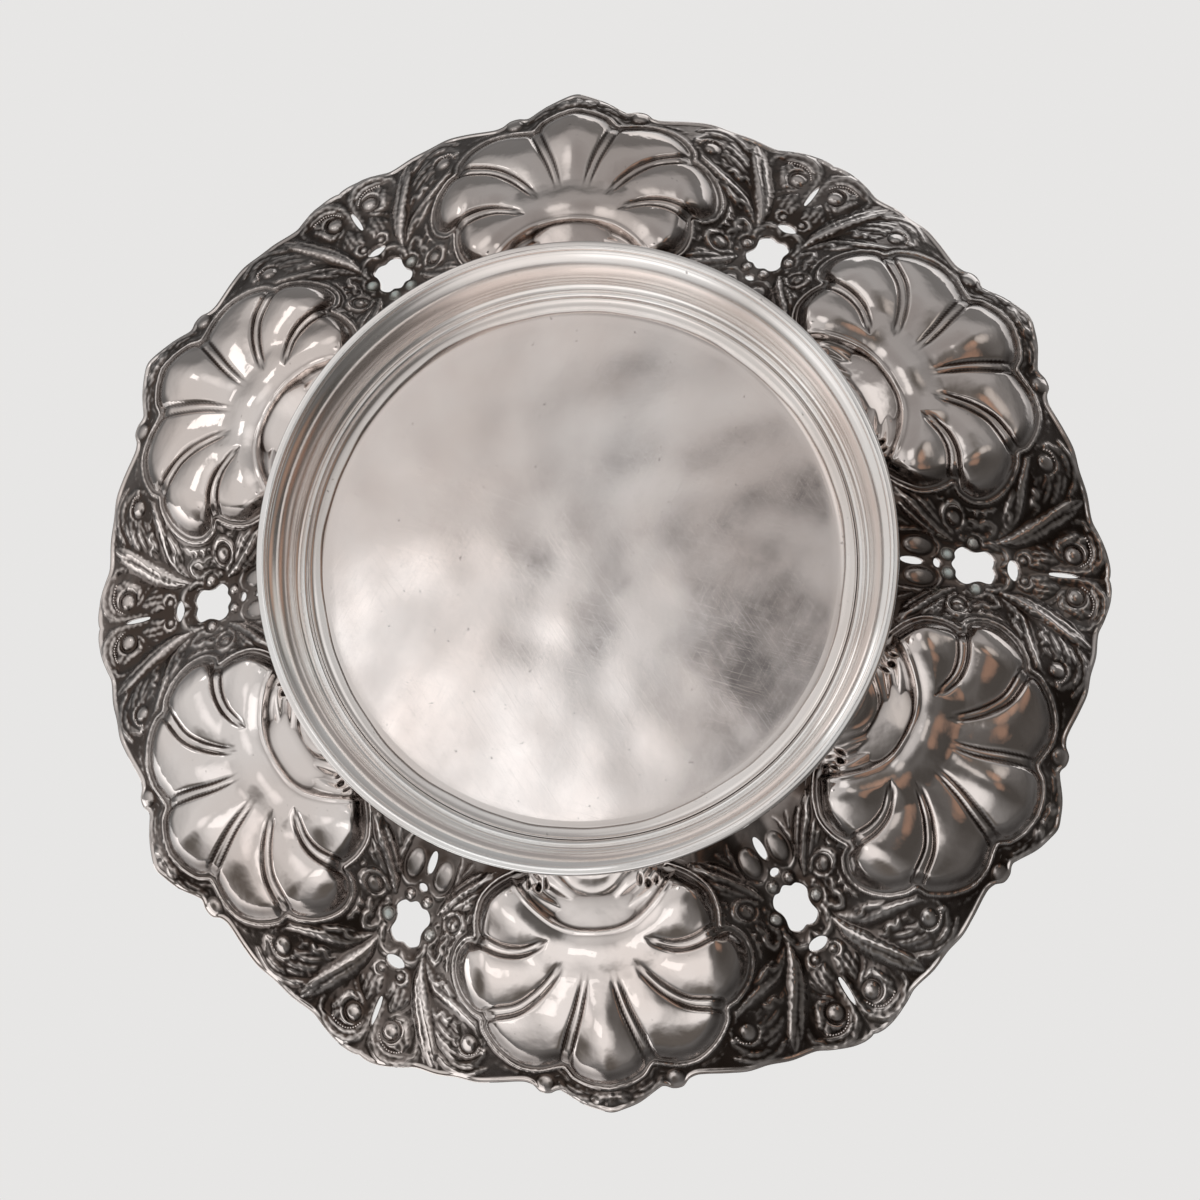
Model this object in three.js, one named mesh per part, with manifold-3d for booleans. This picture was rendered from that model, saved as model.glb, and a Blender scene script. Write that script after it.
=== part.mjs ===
// Silver bonbon dish: one stamped and pierced bowl sheet soldered to a spun foot with a base wire.
// Units are millimetres and +Z is up. The origin is the centre of the foot's resting plane.

import * as THREE from 'three';
import { mergeVertices } from 'three/addons/utils/BufferGeometryUtils.js';
import Module from 'manifold-3d';

// Bowl: six shells and six scroll panels, one of each in every sector
const SECTORS = 6;
const SECTOR_HALF_ANGLE = 180 / SECTORS;
const BOWL_SHEET = 0.8;
const WELL_RADIUS = 43.6;
const WELL_DROP = 1.0;

// Rim of the bowl, as plan radii and as heights above the foot's seat
const RIM_TIP_RADIUS = 90;
const RIM_NOTCH_RADIUS = 86.6;
const RIM_HOLLOW_RADIUS = 85.6;
const RIM_SHOULDER_RADIUS = 87.2;
const RIM_SLACK_RADIUS = 87.8;
const RIM_SCROLL_RADIUS = 90;
const RIM_SHELL_RISE = 24;
const RIM_SCROLL_RISE = 36.7;

// Angles from the middle of a shell to the places along the rim, in degrees
const RIM_NOTCH_ANGLE = 6;
const RIM_HOLLOW_ANGLE = 10.5;
const RIM_SHOULDER_ANGLE = 16.5;
const RIM_SLACK_ANGLE = 23;

// How the floor of a shell and the slope of a scroll panel climb from the foot to the rim
const SHELL_CURVE_POWER = 2.05;
const SCROLL_CURVE_POWER = 1.0;

// Where a shell's bulge starts to give way to the scroll panel, and where it has ended
const SHELL_SHOULDER_ANGLE = 17.5;
const SHELL_RIM_ANGLE = 10;
const PANEL_SHOULDER_ANGLE = 27.5;
const SHOULDER_SWELL_POWER = 2;

// Shell lobes, fanned about the umbo, from the middle lobe to the last one on each side
const UMBO_RADIUS = 64.6;
const UMBO_HOLLOW = 3.5;
const RIB_ANGLES = [24, 63, 92, 128];
const LOBE_REACHES = [22.5, 23, 25.5, 25];
const LOBE_CROWN = 2.4;
const LOBE_VALLEY = 0.6;
const LOBE_SCALLOP = 3.2;
const LOBE_EDGE_WIDTH = 4.5;
const LOBE_RUN_IN = 12;

// Piercings on the middle line of each scroll panel, as plan radii, lengths and widths
const INNER_SLOT = { radius: 56, length: 3.2, width: 1.6 };
const SMALL_HOLE = { radius: 59.9, length: 1.7, width: 1.7 };
const MAIN_OPENING = { radius: 66.1, length: 7.8, width: 6.4 };
const OUTER_OPENING = { radius: 73, length: 2.6, width: 3.4 };
const OUTER_SLIT = { radius: 81, length: 4.6, width: 1.0 };
const MAIN_OPENING_PETAL = -0.25;
const OPENING_POINTS = 12;

// Foot: the wall is described by its inner face, from the neck down to the lip
const FOOT_HEIGHT = 12.5;
const FOOT_SHEET = 0.8;
const NECK_RADIUS = 46.4;
const STEP_RADIUS = 48.1;
const STEP_DROP = 2.4;
const WAIST_RADIUS = 49.1;
const WAIST_DROP = 6.3;
const FLARE_RADIUS = 50.3;
const FLARE_DROP = 9.8;

// Base wire under the flare, with the flat land that the dish rests on
const LIP_RADIUS = 53.6;
const WIRE_WIDTH = 1.5;
const WIRE_HEIGHT = 1.1;
const WIRE_EDGE_ROUND = 0.35;

// Solder fillet in the corner between the neck and the bowl
const SOLDER_LEG = 1.3;

// Running gap that stands for each soldered joint
const JOINT_GAP = 0.3;

// Fineness of the faceted solids: rays over half a shell, then over the rest of its half sector
const SHELL_FAN_ANGLE = 21;
const SHELL_RAYS = 8;
const PANEL_RAYS = 3;
const BORDER_RINGS = 15;
const LATHE_SEGMENTS = 60;
const FOOT_WALL_STEPS = 10;

const degrees = THREE.MathUtils.radToDeg;
const radians = THREE.MathUtils.degToRad;

const wasm = await Module();
wasm.setup();

// Small numeric helpers

function smooth(low, high, value) {
  return THREE.MathUtils.smoothstep(value, low, high);
}

function blend(from, to, share) {
  return from + (to - from) * share;
}

// Smooth curve through points [x, y] with x rising, level at both ends
function curveThrough(points) {
  const slope = (a, b) => (points[b][1] - points[a][1]) / (points[b][0] - points[a][0]);
  const last = points.length - 1;
  const slopes = points.map((point, i) => (i === 0 || i === last ? 0 : slope(i - 1, i + 1)));
  return (x) => {
    let i = 0;
    while (i < last - 1 && x > points[i + 1][0]) i += 1;
    const [x0, y0] = points[i];
    const [x1, y1] = points[i + 1];
    const span = x1 - x0;
    const s = THREE.MathUtils.clamp((x - x0) / span, 0, 1);
    const rise = y1 - y0;
    const bend = s * (1 - s) * ((1 - s) * (slopes[i] * span - rise) - s * (slopes[i + 1] * span - rise));
    return y0 + rise * s + bend;
  };
}

// Shape of the bowl's underside

const rimCurve = curveThrough([
  [0, RIM_TIP_RADIUS],
  [RIM_NOTCH_ANGLE / 2, (RIM_TIP_RADIUS + RIM_NOTCH_RADIUS) / 2],
  [RIM_NOTCH_ANGLE, RIM_NOTCH_RADIUS],
  [RIM_HOLLOW_ANGLE, RIM_HOLLOW_RADIUS],
  [RIM_SHOULDER_ANGLE, RIM_SHOULDER_RADIUS],
  [RIM_SLACK_ANGLE, RIM_SLACK_RADIUS],
  [SECTOR_HALF_ANGLE, RIM_SCROLL_RADIUS],
]);

// Angle from the middle of the nearest shell, 0 to SECTOR_HALF_ANGLE
function angleFromShell(angle) {
  const turn = 2 * SECTOR_HALF_ANGLE;
  const inTurn = ((degrees(angle) % turn) + turn) % turn;
  return Math.min(inTurn, turn - inTurn);
}

function rimRadius(angle) {
  return rimCurve(angleFromShell(angle));
}

// Share of the scroll panel's slope at a place: 0 on a shell, 1 on a panel
function panelShare(outward, fromShell) {
  const narrowing = outward ** SHOULDER_SWELL_POWER;
  const start = blend(SHELL_SHOULDER_ANGLE, SHELL_RIM_ANGLE, narrowing);
  const end = blend(PANEL_SHOULDER_ANGLE, SECTOR_HALF_ANGLE, narrowing);
  return smooth(start, end, fromShell);
}

// Depth of a shell's lobes below its floor, at a place given from the umbo
function lobeRelief(aside, outward) {
  const reach = Math.hypot(aside, outward);
  const turn = degrees(Math.atan2(aside, outward));
  const lobe = RIB_ANGLES.findIndex((rib) => turn < rib);
  if (lobe < 0) return 0;
  const low = lobe === 0 ? -RIB_ANGLES[0] : RIB_ANGLES[lobe - 1];
  const across = (2 * turn - low - RIB_ANGLES[lobe]) / (RIB_ANGLES[lobe] - low);
  const crown = 1 - across * across;
  const beyondLastRib = lobe === RIB_ANGLES.length - 1 && across > 0;
  const valley = beyondLastRib ? 0 : 1 - LOBE_VALLEY / LOBE_CROWN;
  const edge = LOBE_REACHES[lobe] - LOBE_SCALLOP * (1 - crown);
  const rising = smooth(UMBO_HOLLOW, UMBO_HOLLOW + LOBE_RUN_IN, reach);
  const falling = 1 - smooth(edge - LOBE_EDGE_WIDTH, edge, reach);
  return LOBE_CROWN * blend(valley, 1, Math.sqrt(crown)) * rising * falling;
}

// Height of the bowl's underside
function undersideHeight(radius, angle) {
  const seat = FOOT_HEIGHT;
  if (radius <= NECK_RADIUS) return seat - WELL_DROP * (1 - smooth(WELL_RADIUS, NECK_RADIUS, radius));
  const outward = (radius - NECK_RADIUS) / (rimRadius(angle) - NECK_RADIUS);
  const fromShell = angleFromShell(angle);
  const shell = RIM_SHELL_RISE * outward ** SHELL_CURVE_POWER;
  const scroll = RIM_SCROLL_RISE * outward ** SCROLL_CURVE_POWER;
  const aside = radius * Math.sin(radians(fromShell));
  const beyondUmbo = radius * Math.cos(radians(fromShell)) - UMBO_RADIUS;
  return seat + blend(shell, scroll, panelShare(outward, fromShell)) - lobeRelief(aside, beyondUmbo);
}

// Height of the sheet measured upright, so that it is BOWL_SHEET thick square to the surface
function uprightThickness(radius, angle) {
  const step = 0.5;
  const inside = Math.max(radius - step, 0);
  const outside = Math.min(radius + step, rimRadius(angle));
  const alongRadius = undersideHeight(outside, angle) - undersideHeight(inside, angle);
  const turn = step / Math.max(radius, 1);
  const alongRing = undersideHeight(radius, angle + turn) - undersideHeight(radius, angle - turn);
  return BOWL_SHEET * Math.hypot(1, alongRadius / (outside - inside), alongRing / (2 * step));
}

// Mesh helpers

function toSolid(geometry) {
  const bare = geometry.clone();
  bare.deleteAttribute('normal');
  bare.deleteAttribute('uv');
  const merged = mergeVertices(bare, 1e-4);
  const vertProperties = new Float32Array(merged.attributes.position.array);
  const triVerts = new Uint32Array(merged.index.array);
  return new wasm.Manifold(new wasm.Mesh({ numProp: 3, vertProperties, triVerts }));
}

function toGeometry(solid) {
  const mesh = solid.getMesh();
  const geometry = new THREE.BufferGeometry();
  geometry.setAttribute('position', new THREE.BufferAttribute(mesh.vertProperties, 3));
  geometry.setIndex(new THREE.BufferAttribute(mesh.triVerts, 1));
  return geometry;
}

// Ring turned about the Z axis from an outline of [radius, height], given anticlockwise
function turned(outline) {
  const points = [...outline, outline[0]].map(([radius, height]) => new THREE.Vector2(radius, height));
  const geometry = new THREE.LatheGeometry(points, LATHE_SEGMENTS);
  geometry.rotateX(Math.PI / 2);
  return geometry;
}

function silver(color, roughness) {
  return new THREE.MeshStandardMaterial({ color, roughness, metalness: 1 });
}

function named(name, geometry, material) {
  const mesh = new THREE.Mesh(geometry, material);
  mesh.name = name;
  return mesh;
}

// Angles of the rays that the bowl's mesh is built on, all round
function rayAngles() {
  const half = [];
  for (let ray = 0; ray < SHELL_RAYS; ray += 1) half.push((SHELL_FAN_ANGLE * ray) / SHELL_RAYS);
  for (let ray = 0; ray < PANEL_RAYS; ray += 1) {
    half.push(blend(SHELL_FAN_ANGLE, SECTOR_HALF_ANGLE, ray / PANEL_RAYS));
  }
  const mirrored = half.slice(1).reverse().map((angle) => 2 * SECTOR_HALF_ANGLE - angle);
  const sector = [...half, SECTOR_HALF_ANGLE, ...mirrored];
  const turns = Array.from({ length: SECTORS }, (_, turn) => 2 * SECTOR_HALF_ANGLE * turn);
  return turns.flatMap((turn) => sector.map((angle) => radians(turn + angle)));
}

// Bowl sheet before piercing: an underside and a top side on the same rays and rings
function bowlSheet() {
  const angles = rayAngles();
  const rays = angles.length;
  const rings = [WELL_RADIUS, (WELL_RADIUS + NECK_RADIUS) / 2, NECK_RADIUS].map((radius) => () => radius);
  for (let ring = 1; ring <= BORDER_RINGS; ring += 1) {
    rings.push((angle) => blend(NECK_RADIUS, rimRadius(angle), ring / BORDER_RINGS));
  }
  const positions = [];
  const triangles = [];
  const bottomCentre = 0;
  const topCentre = 1;
  positions.push(0, 0, undersideHeight(0, 0));
  positions.push(0, 0, undersideHeight(0, 0) + BOWL_SHEET);
  const under = (ring, ray) => 2 + 2 * (ring * rays + (ray % rays));
  const top = (ring, ray) => under(ring, ray) + 1;
  rings.forEach((radiusAt) => {
    angles.forEach((angle) => {
      const radius = radiusAt(angle);
      const x = radius * Math.cos(angle);
      const y = radius * Math.sin(angle);
      const low = undersideHeight(radius, angle);
      positions.push(x, y, low);
      positions.push(x, y, low + uprightThickness(radius, angle));
    });
  });
  const last = rings.length - 1;
  for (let ray = 0; ray < rays; ray += 1) {
    triangles.push(bottomCentre, under(0, ray + 1), under(0, ray));
    triangles.push(topCentre, top(0, ray), top(0, ray + 1));
    for (let ring = 0; ring < last; ring += 1) {
      triangles.push(under(ring, ray), under(ring, ray + 1), under(ring + 1, ray + 1));
      triangles.push(under(ring, ray), under(ring + 1, ray + 1), under(ring + 1, ray));
      triangles.push(top(ring, ray), top(ring + 1, ray + 1), top(ring, ray + 1));
      triangles.push(top(ring, ray), top(ring + 1, ray), top(ring + 1, ray + 1));
    }
    triangles.push(under(last, ray), under(last, ray + 1), top(last, ray + 1));
    triangles.push(under(last, ray), top(last, ray + 1), top(last, ray));
  }
  const geometry = new THREE.BufferGeometry();
  geometry.setAttribute('position', new THREE.Float32BufferAttribute(positions, 3));
  geometry.setIndex(triangles);
  return geometry;
}

// Upright cutter through the sheet: an oval, with four petals between its axes where petal is under zero
function openingCutter(opening, petal, angle) {
  const outline = new THREE.Shape();
  for (let point = 0; point < OPENING_POINTS; point += 1) {
    const turn = (2 * Math.PI * point) / OPENING_POINTS;
    const swell = petal * Math.cos(4 * turn);
    const x = (opening.length / 2 + swell) * Math.cos(turn);
    const y = (opening.width / 2 + swell) * Math.sin(turn);
    if (point === 0) outline.moveTo(x, y);
    else outline.lineTo(x, y);
  }
  outline.closePath();
  const depth = FOOT_HEIGHT + 2 * RIM_SCROLL_RISE;
  const geometry = new THREE.ExtrudeGeometry(outline, { depth, bevelEnabled: false });
  geometry.translate(opening.radius, 0, 0);
  geometry.rotateZ(angle);
  return toSolid(geometry);
}

function bowl() {
  let solid = toSolid(bowlSheet());
  for (let sector = 0; sector < SECTORS; sector += 1) {
    const angle = radians((2 * sector + 1) * SECTOR_HALF_ANGLE);
    [INNER_SLOT, SMALL_HOLE, OUTER_OPENING, OUTER_SLIT].forEach((opening) => {
      solid = solid.subtract(openingCutter(opening, 0, angle));
    });
    solid = solid.subtract(openingCutter(MAIN_OPENING, MAIN_OPENING_PETAL, angle));
  }
  return named('bowl', toGeometry(solid), silver('#d8d4cd', 0.22));
}

// Foot wall: the inner face as a curve, and the outer face one sheet away from it
function footRing() {
  const wall = new THREE.SplineCurve([
    new THREE.Vector2(NECK_RADIUS, FOOT_HEIGHT - JOINT_GAP),
    new THREE.Vector2(NECK_RADIUS, FOOT_HEIGHT - STEP_DROP / 2),
    new THREE.Vector2(STEP_RADIUS, FOOT_HEIGHT - STEP_DROP),
    new THREE.Vector2(WAIST_RADIUS, FOOT_HEIGHT - WAIST_DROP),
    new THREE.Vector2(FLARE_RADIUS, FOOT_HEIGHT - FLARE_DROP),
    new THREE.Vector2(LIP_RADIUS - WIRE_WIDTH, WIRE_HEIGHT + JOINT_GAP),
  ]);
  const inner = [];
  const outer = [];
  for (let step = 0; step <= FOOT_WALL_STEPS; step += 1) {
    const point = wall.getPoint(step / FOOT_WALL_STEPS);
    const along = wall.getTangent(step / FOOT_WALL_STEPS);
    inner.push([point.x, point.y]);
    outer.push([point.x - FOOT_SHEET * along.y, point.y + FOOT_SHEET * along.x]);
  }
  outer[0] = [NECK_RADIUS + FOOT_SHEET, FOOT_HEIGHT - JOINT_GAP];
  outer[FOOT_WALL_STEPS] = [LIP_RADIUS, WIRE_HEIGHT + JOINT_GAP];
  return named('foot_ring', turned([...inner, ...outer.reverse()]), silver('#dedbd5', 0.18));
}

function baseWire() {
  const inside = LIP_RADIUS - WIRE_WIDTH;
  const outline = [
    [inside, WIRE_HEIGHT],
    [inside, WIRE_EDGE_ROUND / 2],
    [inside + WIRE_EDGE_ROUND / 2, 0],
    [LIP_RADIUS - WIRE_EDGE_ROUND, 0],
    [LIP_RADIUS - WIRE_EDGE_ROUND * (1 - Math.SQRT1_2), WIRE_EDGE_ROUND * (1 - Math.SQRT1_2)],
    [LIP_RADIUS, WIRE_EDGE_ROUND],
    [LIP_RADIUS, WIRE_HEIGHT],
  ];
  return named('foot_base_wire', turned(outline), silver('#e2dfd9', 0.2));
}

function solderSeam() {
  const outside = NECK_RADIUS - JOINT_GAP;
  const inside = outside - SOLDER_LEG;
  const topAt = (radius) => undersideHeight(radius, 0) - JOINT_GAP;
  const outline = [
    [inside, topAt(inside)],
    [outside, topAt(inside) - SOLDER_LEG / 2],
    [outside, topAt(outside)],
    [(inside + outside) / 2, topAt((inside + outside) / 2)],
  ];
  return named('foot_solder_seam', turned(outline), silver('#cfcbc2', 0.35));
}

const dish = new THREE.Group();
dish.add(bowl());
dish.add(footRing());
dish.add(baseWire());
dish.add(solderSeam());

export default dish;
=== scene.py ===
# Silver bonbon dish: stamped and pierced bowl sheet on a spun foot, seen from below.
# The dish is drawn in millimetres until a mesh is made. Floor, lamps and sizes in materials are in metres.

import math

import bpy
import numpy as np
from mathutils import Matrix, Vector


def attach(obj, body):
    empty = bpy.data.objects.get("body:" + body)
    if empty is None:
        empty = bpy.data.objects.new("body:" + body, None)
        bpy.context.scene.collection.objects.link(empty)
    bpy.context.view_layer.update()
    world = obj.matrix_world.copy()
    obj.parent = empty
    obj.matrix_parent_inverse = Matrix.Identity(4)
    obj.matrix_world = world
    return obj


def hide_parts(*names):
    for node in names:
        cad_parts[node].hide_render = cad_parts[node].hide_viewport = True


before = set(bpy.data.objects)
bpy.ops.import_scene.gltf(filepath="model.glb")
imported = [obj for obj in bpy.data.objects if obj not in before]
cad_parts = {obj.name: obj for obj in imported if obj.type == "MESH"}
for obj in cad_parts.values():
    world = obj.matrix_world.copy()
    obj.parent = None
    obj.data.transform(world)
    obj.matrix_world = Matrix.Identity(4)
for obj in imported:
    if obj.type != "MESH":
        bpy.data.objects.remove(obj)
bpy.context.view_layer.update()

MM = 0.001

# Bowl, as in the CAD model. A turn is in degrees from the middle of a shell, and outlines give plan
# radius by turn: the plain outline, and the edge with its finest waves.
SECTORS = 6
HALF_SECTOR = 180 / SECTORS
SHEET = 0.8
WELL_RADIUS = 43.6
WELL_DROP = 1.0
RIM_OUTLINE = [(0, 90), (3, 88.3), (6, 86.6), (10.5, 85.6), (16.5, 87.2), (23, 87.8), (30, 90)]
RIM_EDGE = [
    (0, 90.1), (1.4, 89.6), (3.2, 88.6), (5.7, 86.5), (6.2, 86.5), (7.0, 87.0), (8.1, 86.9), (9.0, 85.9),
    (10.2, 85.6), (13.4, 86.5), (15.6, 87.1), (18.0, 87.1), (20.5, 87.6), (23.4, 87.7), (25.0, 88.6),
    (27.0, 89.6), (28.6, 90.0), (29.6, 89.9), (30, 89.7),
]
RIM_SHELL_RISE = 24
RIM_SCROLL_RISE = 36.7
SHELL_POWER = 2.05
SHELL_SHOULDER_ANGLE = 17.5
SHELL_RIM_ANGLE = 10
PANEL_SHOULDER_ANGLE = 27.5
UMBO_RADIUS = 64.6
UMBO_HOLLOW = 3.5
LOBE_STEP = 1.4
LOBE_WALL = 2.4
LOBE_PILLOW = 1.6
LOBE_HALF_WIDTH = 5.0
LOBE_RUN_IN = 12

# Foot, as in the CAD model
SEAT = 12.5
FOOT_SHEET = 0.8
NECK_RADIUS = 46.4
LIP_RADIUS = 53.6
WIRE_WIDTH = 1.5
WIRE_HEIGHT = 1.1
JOINT_GAP = 0.3

# Fineness of the meshes
HALF_COLUMNS = 192
COLUMNS = 2 * SECTORS * HALF_COLUMNS
RELIEF_ROWS = 240
FOOT_COLUMNS = 360
# Rings of vertices around an opening that are evened out, and how often
EASED_RINGS = 6
EASING_STEPS = 30

# Outlines of openings: turn from outward and share of a plain oval. The main opening has knobs.
EVEN = [(0, 1.0), (180, 1.0)]
KNOBBED = [
    (0, 0.99), (24, 1.17), (50, 1.15), (72, 0.86), (92, 0.86), (115, 1.12), (142, 1.12), (158, 0.96),
    (180, 1.06),
]

# Piercings on the middle line of each scroll panel: plan radius, length, width and outline
OPENINGS = [
    (55.6, 4.2, 1.4, EVEN),
    (59.9, 1.6, 1.7, EVEN),
    (66.1, 7.3, 6.3, KNOBBED),
    (73.0, 2.3, 3.7, EVEN),
    (81.8, 5.8, 0.9, EVEN),
]

# Camera, from the fit of the photograph's circles
CAMERA_FORWARD = (0.1773, -0.0759, 0.9812)
CAMERA_ROLL = 0.0346
CAMERA_TARGET = (-7.994, 3.797, 0.0)
CAMERA_DISTANCE = 695.0
CAMERA_LENS = 125.98


# Numeric helpers


def smooth(low, high, value):
    share = np.clip((value - low) / (high - low), 0, 1)
    return share * share * (3 - 2 * share)


def blend(start, end, share):
    return start + (end - start) * share


def bell(distance, width):
    share = np.clip(1 - (distance / width) ** 2, 0, None)
    return share * share


def sharp_fold(distance, foot):
    """A narrow-backed fold with hollow flanks, 1 at its crest."""
    blunting = 0.18
    return np.clip(1 + blunting - np.hypot(distance / foot, blunting), 0, 1) ** 2


def curve_through(points, x):
    """Smooth curve through points (x, y) with x rising, level at both ends, as in the CAD model."""
    xs = np.array([point[0] for point in points], float)
    ys = np.array([point[1] for point in points], float)
    last = len(points) - 1
    after = np.minimum(np.arange(last + 1) + 1, last)
    before = np.maximum(np.arange(last + 1) - 1, 0)
    slopes = (ys[after] - ys[before]) / (xs[after] - xs[before])
    slopes[[0, last]] = 0
    i = np.clip(np.searchsorted(xs, x, side="left") - 1, 0, last - 1)
    span = xs[i + 1] - xs[i]
    rise = ys[i + 1] - ys[i]
    s = np.clip((x - xs[i]) / span, 0, 1)
    bend = s * (1 - s) * ((1 - s) * (slopes[i] * span - rise) - s * (slopes[i + 1] * span - rise))
    return ys[i] + rise * s + bend


def rounded_path(points, steps=7):
    """Dense path through the points of a drawn stroke."""
    if len(points) < 3:
        return np.array(points, float)
    ends = [points[0]] + list(points) + [points[-1]]
    path = []
    for a, b, c, d in zip(ends, ends[1:], ends[2:], ends[3:]):
        a, b, c, d = (np.array(point, float) for point in (a, b, c, d))
        bend = 2 * a - 5 * b + 4 * c - d
        twist = 3 * b - a - 3 * c + d
        for step in range(steps):
            t = step / steps
            path.append(0.5 * (2 * b + (c - a) * t + bend * t**2 + twist * t**3))
    path.append(np.array(points[-1], float))
    return np.array(path)


def distance_to_path(x, y, path):
    """Distance from each place to the path, and how far along the path the nearest point lies, 0 to 1."""
    nearest = np.full(x.shape, 1e9)
    along = np.zeros(x.shape)
    lengths = np.hypot(*(path[1:] - path[:-1]).T)
    total = lengths.sum()
    done = 0.0
    for start, end, length in zip(path[:-1], path[1:], lengths):
        step = end - start
        share = ((x - start[0]) * step[0] + (y - start[1]) * step[1]) / max(length**2, 1e-9)
        share = np.clip(share, 0, 1)
        distance = np.hypot(x - start[0] - share * step[0], y - start[1] - share * step[1])
        closer = distance < nearest
        nearest = np.where(closer, distance, nearest)
        along = np.where(closer, (done + share * length) / total, along)
        done += length
    return nearest, along


def inside_outline(x, y, path):
    """True for places inside a closed path."""
    inside = np.zeros(x.shape, bool)
    for (x0, y0), (x1, y1) in zip(path, np.roll(path, -1, axis=0)):
        crosses = (y0 > y) != (y1 > y)
        at = x0 + (y - y0) * (x1 - x0) / (y1 - y0 if y1 != y0 else 1e-9)
        inside ^= crosses & (x < at)
    return inside


def depth_inside(x, y, points, corners):
    """Distance from a drawn line, above 0 inside the outline that the line and the corners make."""
    path = rounded_path(points)
    distance, _ = distance_to_path(x, y, path)
    return np.where(inside_outline(x, y, np.vstack([path, corners])), distance, -distance)


def about_axis(radius, angle, height):
    """Points at angles in radians about the dish's axis."""
    return np.stack([radius * np.cos(angle), radius * np.sin(angle), height + 0 * angle], axis=-1)


# Plain form of the bowl's underside, the same as in the CAD model


def plain_height(radius, turn):
    """Height of the plain underside, for turns from 0 at a shell to HALF_SECTOR at a scroll panel."""
    turn = np.abs(turn)
    turn = np.where(turn > HALF_SECTOR, 2 * HALF_SECTOR - turn, turn)
    well = SEAT - WELL_DROP * (1 - smooth(WELL_RADIUS, NECK_RADIUS, radius))
    outward = (radius - NECK_RADIUS) / (curve_through(RIM_OUTLINE, turn) - NECK_RADIUS)
    outward = np.clip(outward, 0, None)
    narrowing = outward**2
    start = blend(SHELL_SHOULDER_ANGLE, SHELL_RIM_ANGLE, narrowing)
    end = blend(PANEL_SHOULDER_ANGLE, HALF_SECTOR, narrowing)
    panel = smooth(start, end, turn)
    slope = blend(RIM_SHELL_RISE * outward**SHELL_POWER, RIM_SCROLL_RISE * outward, panel)
    return np.where(radius <= NECK_RADIUS, well, SEAT + slope)


# Ornament. A stroke is (height, width, points); points are (aside, out) from the middle line of its
# shell or panel, and every stroke is mirrored about that line.

SHELL_OUTLINE = [
    (0, 86), (3, 85.4), (5.6, 84.1), (7.2, 82.2), (9, 82.1), (12, 82.4), (15.4, 81.6), (18.4, 79.2),
    (20.3, 76.2), (20.6, 73.8), (22.4, 72.4), (24.3, 69.6), (25.1, 66.2), (24.4, 63.2), (22.4, 61.5),
    (20.4, 61.4), (20.1, 58.2), (18.8, 55), (15.8, 52.6), (12.5, 51.2),
]
SHELL_CORNERS = [(-1, 50), (-1, 86)]

SHELL_RIBS = [
    [(2.3, 67.6), (3, 70.6), (4, 73.8), (5.4, 77.2), (7.2, 81.6)],
    [(5.6, 65.6), (8, 68.6), (11.2, 71.4), (14.8, 73.2), (19.8, 73.6)],
    [(7.6, 62.4), (10.4, 63.6), (13.4, 64.2), (16.6, 63.6), (19.8, 61.8)],
]

# Hollow at a shell's hinge, next to the foot: its edge, corners that close it, depth and width
HINGE_CREASE = [(0, 61.4), (3.5, 61.1), (6.6, 60), (9.4, 57.9), (11.8, 55.2), (13.6, 52.4)]
HINGE_CORNERS = [(14, 40), (-1, 40), (-1, 61.4)]
HINGE_HOLLOW = 2.5
HINGE_DEPTH_SPAN = 8.5
# Sharp folds in the hollow: height and distance from its edge, and half width of a fold's foot
HINGE_FOLDS = [(0.9, 2.3), (0.7, 4.6), (0.5, 6.6)]
FOLD_FOOT = 1.5
# Punched pits at the hinge's corners, 1 deep: aside, out, half width aside, half width outward
HINGE_PITS = [(7.9, 53.2, 0.45, 1.3), (9.2, 53.9, 0.6, 1), (10.7, 53.4, 0.4, 1.1)]

SHELL_STROKES = [
    (0.75, 0.75, [(0, 86.9), (0, 89.7)]),
    (0.65, 0.6, [(0.9, 87), (1.9, 88.3), (3.1, 88.9)]),
    (0.5, 0.4, [(0.6, 86.5), (2.2, 87.1), (3.6, 88)]),
    (0.6, 0.5, [(3.2, 88.5), (5.5, 87.9), (7.7, 86.6), (9.1, 85)]),
    (0.55, 0.45, [(1.3, 86.3), (4.1, 86.2), (6.5, 84.9), (7.6, 83.5), (8.9, 83), (9.8, 83.7)]),
    (0.45, 0.35, [(4.2, 87.1), (6.2, 86.4), (7.8, 85)]),
    (0.5, 0.4, [(12.6, 84.9), (15, 84), (19, 84), (22.5, 83.9), (25.5, 82.9), (29, 81.6)]),
    (0.45, 0.4, [(9.8, 83.7), (12.5, 83.4), (15.6, 83), (18.6, 81.9), (20.6, 79.8)]),
    (0.35, 0.3, [(13.6, 84.3), (16.5, 83.3), (19.6, 82.9)]),
]

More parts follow.
